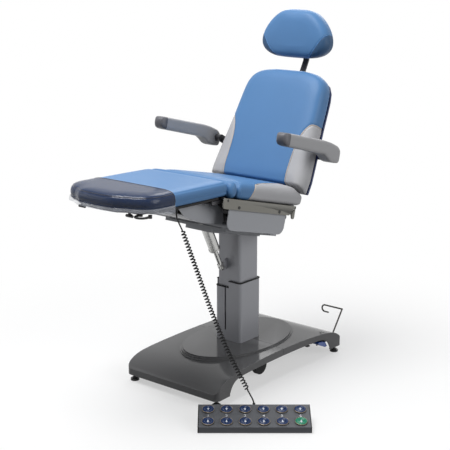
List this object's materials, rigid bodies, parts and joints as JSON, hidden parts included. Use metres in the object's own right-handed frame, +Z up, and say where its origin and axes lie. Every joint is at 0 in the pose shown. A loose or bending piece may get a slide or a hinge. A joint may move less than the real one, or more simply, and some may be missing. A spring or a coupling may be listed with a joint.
{
  "type": "podiatry chair",
  "caption": "Podiatry treatment chair on a telescopic column: tilting seat, reclining back, folding leg section, headrest, armrests and a floor control unit on a curly cord.",
  "frame": {"origin": "on the floor, at the centre of the rectangle of the four levelling feet, under the column", "axes": "+Z up, -Y the way the patient faces (foot end), +X the patient's left"},
  "size_m": [1.1118, 1.4462, 1.6464],
  "materials": {
    "blue_vinyl": "satin",
    "grey_vinyl": "satin",
    "base_metal": "satin",
    "column_metal": "satin",
    "light_metal": "satin",
    "warm_metal": "satin",
    "dark_metal": "satin",
    "bright_steel": "satin",
    "black_plastic": "satin",
    "arm_foam": "matte",
    "shell_plastic": "satin",
    "black_rubber": "matte",
    "board": "matte",
    "clear_vinyl": "gloss",
    "control_metal": "satin",
    "button_blue": "gloss",
    "button_green": "gloss",
    "pedal_blue": "satin"
  },
  "bodies": {
    "base": {"base_shells": "base_metal", "oval_cover": "base_metal", "base_frame": "dark_metal", "levelling_feet": "black_plastic", "column_outer": "column_metal", "column_wiper": "black_rubber", "lift_motor": "bright_steel", "control_case": "control_metal", "control_trim": "black_plastic", "cord_ends": "black_rubber", "curly_cord": "black_rubber"},
    "wheel_carriage": {"wheel_carriage": "dark_metal"},
    "wheel_pair": {"wheel_pair": "black_rubber"},
    "hook_lever": {"hook_lever": "dark_metal"},
    "lock_pedal": {"lock_pedal": "pedal_blue"},
    "column": {"column_inner": "column_metal", "lift_rod": "bright_steel"},
    "tilt_rod": {"tilt_rod": "bright_steel"},
    "tilt_tube": {"tilt_tube": "bright_steel"},
    "seat": {"sub_frame": "light_metal", "side_plates": "light_metal", "seat_plates": "warm_metal", "tilt_shaft": "bright_steel", "frame_fasteners": "bright_steel", "seat_board": "board", "seat_pad": "blue_vinyl", "seat_bolsters": "grey_vinyl", "control_box": "black_plastic", "actuators": "black_plastic"},
    "back_rod": {"back_rod": "bright_steel"},
    "leg_rod": {"leg_rod": "bright_steel"},
    "leg": {"leg_carriage": "dark_metal", "apron": "light_metal"},
    "leg_slide": {"leg_board": "board", "leg_pad": "blue_vinyl", "foot_cover": "clear_vinyl", "pull_loop": "black_plastic"},
    "knob_left": {"knob_left": "black_plastic"},
    "knob_right": {"knob_right": "black_plastic"},
    "back": {"back_shell": "shell_plastic", "back_frame": "dark_metal", "back_pad": "blue_vinyl", "back_bolsters": "grey_vinyl"},
    "head_post": {"head_post": "dark_metal"},
    "headrest": {"head_plate": "dark_metal", "head_pad": "blue_vinyl"},
    "armrest_left": {"armrest_left": "arm_foam"},
    "armrest_right": {"armrest_right": "arm_foam"},
    "button_1": {"button_1": "button_blue"},
    "button_2": {"button_2": "button_blue"},
    "button_3": {"button_3": "button_blue"},
    "button_4": {"button_4": "button_blue"},
    "button_5": {"button_5": "button_blue"},
    "button_6": {"button_6": "button_blue"},
    "button_7": {"button_7": "button_blue"},
    "button_8": {"button_8": "button_blue"},
    "button_9": {"button_9": "button_blue"},
    "button_10": {"button_10": "button_blue"},
    "button_11": {"button_11": "button_blue"},
    "button_12": {"button_12": "button_green"}
  },
  "joints": [
    {"name": "column_lift", "type": "slide", "parent": "base", "child": "column", "axis": [0, 0, 1], "range_m": [-0.14, 0.08], "deforming": ["curly_cord", "cord_ends"]},
    {"name": "chassis_tilt", "type": "hinge", "parent": "column", "child": "seat", "pos_m": [0, 0, 0.72], "axis": [-1, 0, 0], "range_deg": [-14, 6]},
    {"name": "tilt_rod_swing", "type": "hinge", "parent": "column", "child": "tilt_rod", "pos_m": [-0.015, -0.103, 0.502], "axis": [-1, 0, 0], "range_deg": [-7.5, 3.3]},
    {"name": "tilt_tube_slide", "type": "slide", "parent": "tilt_rod", "child": "tilt_tube", "axis": [0, -0.4471, 0.8945], "range_m": [-0.0478, 0.0206]},
    {"name": "back_recline", "type": "hinge", "parent": "seat", "child": "back", "pos_m": [0, 0.14791, 0.78412], "axis": [-1, 0, 0], "range_deg": [0, 75]},
    {"name": "back_rod_slide", "type": "slide", "parent": "seat", "child": "back_rod", "axis": [0, 0.9703, -0.2419], "range_m": [-0.0976, 0]},
    {"name": "leg_fold", "type": "hinge", "parent": "seat", "child": "leg", "pos_m": [0, -0.37847, 0.90506], "axis": [1, 0, 0], "range_deg": [-5, 25]},
    {"name": "leg_rod_slide", "type": "slide", "parent": "seat", "child": "leg_rod", "axis": [0, 0.9703, -0.2419], "range_m": [-0.0062, 0.0304]},
    {"name": "leg_extend", "type": "slide", "parent": "leg", "child": "leg_slide", "axis": [0, -0.9997, 0.0262], "range_m": [0, 0.15]},
    {"name": "knob_left_turn", "type": "hinge", "parent": "leg_slide", "child": "knob_left", "pos_m": [0.116, -0.82832, 0.91684], "axis": [0, 0.0262, 0.9997], "range_deg": [0, 90]},
    {"name": "knob_right_turn", "type": "hinge", "parent": "leg_slide", "child": "knob_right", "pos_m": [-0.155, -0.82832, 0.91684], "axis": [0, 0.0262, 0.9997], "range_deg": [0, 90]},
    {"name": "headrest_slide", "type": "slide", "parent": "back", "child": "head_post", "axis": [0, 0.4772, 0.8788], "range_m": [-0.03, 0.12]},
    {"name": "headrest_tilt", "type": "hinge", "parent": "head_post", "child": "headrest", "pos_m": [0, 0.512, 1.5], "axis": [-1, 0, 0], "range_deg": [-20, 25]},
    {"name": "arm_left_fold", "type": "hinge", "parent": "back", "child": "armrest_left", "pos_m": [0.353, 0.23003, 1.02969], "axis": [-1, 0, 0], "range_deg": [0, 100]},
    {"name": "arm_right_fold", "type": "hinge", "parent": "back", "child": "armrest_right", "pos_m": [-0.353, 0.23003, 1.02969], "axis": [-1, 0, 0], "range_deg": [0, 100]},
    {"name": "hook_lever_swing", "type": "hinge", "parent": "base", "child": "hook_lever", "pos_m": [0.222, 0.451, 0.056], "axis": [-1, 0, 0], "range_deg": [0, 35]},
    {"name": "wheel_carriage_swing", "type": "hinge", "parent": "base", "child": "wheel_carriage", "pos_m": [0, 0.1, 0.07], "axis": [1, 0, 0], "range_deg": [0, 2.5]},
    {"name": "wheel_spin", "type": "hinge", "parent": "wheel_carriage", "child": "wheel_pair", "pos_m": [0, -0.03, 0.045], "axis": [1, 0, 0], "continuous": true},
    {"name": "lock_pedal_press", "type": "hinge", "parent": "base", "child": "lock_pedal", "pos_m": [0.236, 0.306, 0.079], "axis": [-1, 0, 0], "range_deg": [0, 12]},
    {"name": "button_1_press", "type": "slide", "parent": "base", "child": "button_1", "axis": [-0.1653, 0.1991, -0.9659], "range_m": [0, 0.003], "stiffness_N_per_m": 400, "springref_m": -0.002},
    {"name": "button_2_press", "type": "slide", "parent": "base", "child": "button_2", "axis": [-0.1653, 0.1991, -0.9659], "range_m": [0, 0.003], "stiffness_N_per_m": 400, "springref_m": -0.002},
    {"name": "button_3_press", "type": "slide", "parent": "base", "child": "button_3", "axis": [-0.1653, 0.1991, -0.9659], "range_m": [0, 0.003], "stiffness_N_per_m": 400, "springref_m": -0.002},
    {"name": "button_4_press", "type": "slide", "parent": "base", "child": "button_4", "axis": [-0.1653, 0.1991, -0.9659], "range_m": [0, 0.003], "stiffness_N_per_m": 400, "springref_m": -0.002},
    {"name": "button_5_press", "type": "slide", "parent": "base", "child": "button_5", "axis": [-0.1653, 0.1991, -0.9659], "range_m": [0, 0.003], "stiffness_N_per_m": 400, "springref_m": -0.002},
    {"name": "button_6_press", "type": "slide", "parent": "base", "child": "button_6", "axis": [-0.1653, 0.1991, -0.9659], "range_m": [0, 0.003], "stiffness_N_per_m": 400, "springref_m": -0.002},
    {"name": "button_7_press", "type": "slide", "parent": "base", "child": "button_7", "axis": [-0.1653, 0.1991, -0.9659], "range_m": [0, 0.003], "stiffness_N_per_m": 400, "springref_m": -0.002},
    {"name": "button_8_press", "type": "slide", "parent": "base", "child": "button_8", "axis": [-0.1653, 0.1991, -0.9659], "range_m": [0, 0.003], "stiffness_N_per_m": 400, "springref_m": -0.002},
    {"name": "button_9_press", "type": "slide", "parent": "base", "child": "button_9", "axis": [-0.1653, 0.1991, -0.9659], "range_m": [0, 0.003], "stiffness_N_per_m": 400, "springref_m": -0.002},
    {"name": "button_10_press", "type": "slide", "parent": "base", "child": "button_10", "axis": [-0.1653, 0.1991, -0.9659], "range_m": [0, 0.003], "stiffness_N_per_m": 400, "springref_m": -0.002},
    {"name": "button_11_press", "type": "slide", "parent": "base", "child": "button_11", "axis": [-0.1653, 0.1991, -0.9659], "range_m": [0, 0.003], "stiffness_N_per_m": 400, "springref_m": -0.002},
    {"name": "button_12_press", "type": "slide", "parent": "base", "child": "button_12", "axis": [-0.1653, 0.1991, -0.9659], "range_m": [0, 0.003], "stiffness_N_per_m": 400, "springref_m": -0.002}
  ],
  "couplings": [
    {"joint": "tilt_rod_swing", "follows": "chassis_tilt", "ratio": 0.53},
    {"joint": "tilt_tube_slide", "follows": "chassis_tilt", "m_per_rad": 0.1948},
    {"joint": "back_rod_slide", "follows": "back_recline", "m_per_rad": -0.0743},
    {"joint": "leg_rod_slide", "follows": "leg_fold", "m_per_rad": 0.0693},
    {"joint": "wheel_carriage_swing", "follows": "hook_lever_swing", "ratio": 0.07}
  ]
}
